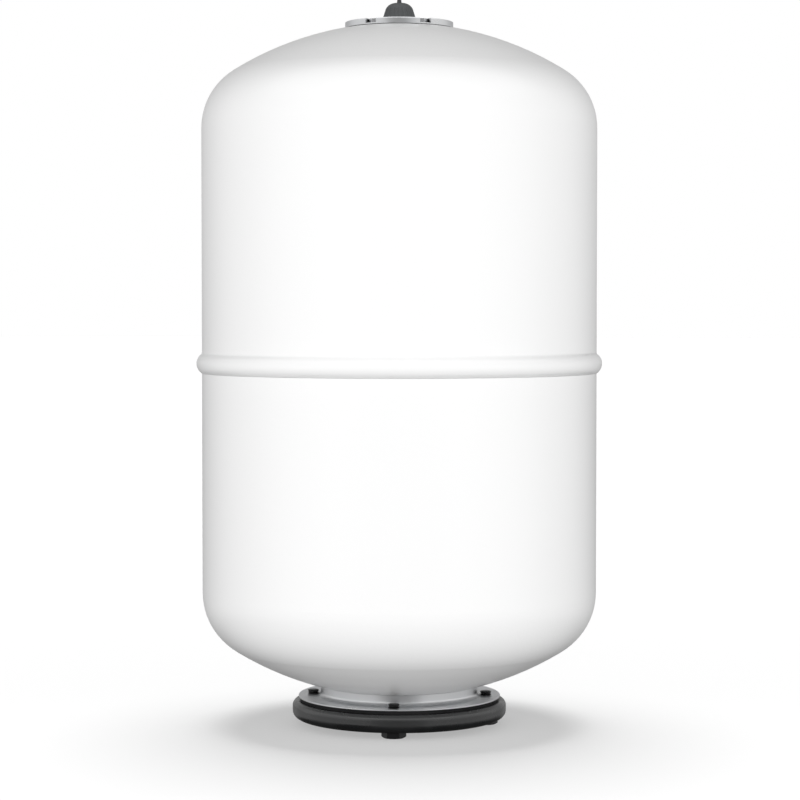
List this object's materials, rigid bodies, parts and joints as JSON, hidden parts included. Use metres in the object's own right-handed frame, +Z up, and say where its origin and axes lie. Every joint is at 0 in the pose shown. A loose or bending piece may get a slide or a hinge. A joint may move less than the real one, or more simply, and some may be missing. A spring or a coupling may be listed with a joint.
{
  "type": "expansion vessel",
  "caption": "Upright round white steel expansion vessel with a swaged waist bead, a bolted black lower flange holding a replaceable bladder, and a capped air valve on a notched top flange.",
  "frame": {"origin": "on the vessel's axis, in the plane of the four bolt heads it stands on", "axes": "+Z up along the vessel's axis to the air valve, -Y towards the front bolt"},
  "size_m": [0.2878, 0.2876, 0.517],
  "materials": {
    "white_coat": "satin white powder coat with a fine orange peel",
    "zinc_plate": "bright zinc plate on turned and pressed steel",
    "plain_weld": "uncoated weld and steel inside the vessel",
    "black_flange": "black glass-filled moulding, satin gloss",
    "bolt_steel": "dark zinc-plated steel",
    "screw_steel": "bright zinc-plated steel",
    "brass": "machined brass",
    "nickel_brass": "nickel-plated brass",
    "bag_rubber": "black rubber sheet, matt",
    "gasket_rubber": "black rubber",
    "seal_rubber": "red-brown valve rubber",
    "grid_plastic": "natural moulded plastic",
    "cap_plastic": "dark grey moulded plastic",
    "spring_steel": "stainless spring wire"
  },
  "bodies": {
    "vessel": {"upper_shell": "white_coat", "lower_shell": "white_coat", "waist_weld": "white_coat", "lower_neck_ring": "zinc_plate", "lower_neck_weld": "plain_weld", "bladder": "bag_rubber", "counter_flange": "black_flange", "water_connection": "nickel_brass", "outlet_grid": "grid_plastic", "flange_bolts": "bolt_steel", "upper_neck_ring": "plain_weld", "upper_neck_weld": "plain_weld", "valve_flange_gasket": "gasket_rubber", "valve_flange": "zinc_plate", "valve_flange_screws": "screw_steel", "valve_stem": "brass", "valve_stem_seal": "gasket_rubber", "valve_stem_washer": "zinc_plate", "valve_stem_nut": "brass", "valve_core_body": "brass", "valve_core_seal": "seal_rubber", "valve_core_spring": "spring_steel"},
    "cap": {"valve_cap": "cap_plastic", "valve_cap_seal": "gasket_rubber"},
    "pin": {"valve_pin": "brass", "valve_pin_seal": "seal_rubber"}
  },
  "joints": [
    {"name": "cap_pull", "type": "slide", "parent": "vessel", "child": "cap", "axis": [0, 0, 1], "range_m": [0, 0.015]},
    {"name": "pin_press", "type": "slide", "parent": "vessel", "child": "pin", "axis": [0, 0, -1], "range_m": [0, 0.0015], "stiffness_N_per_m": 800, "springref_m": -0.001, "deforming": ["valve_core_spring"]}
  ]
}
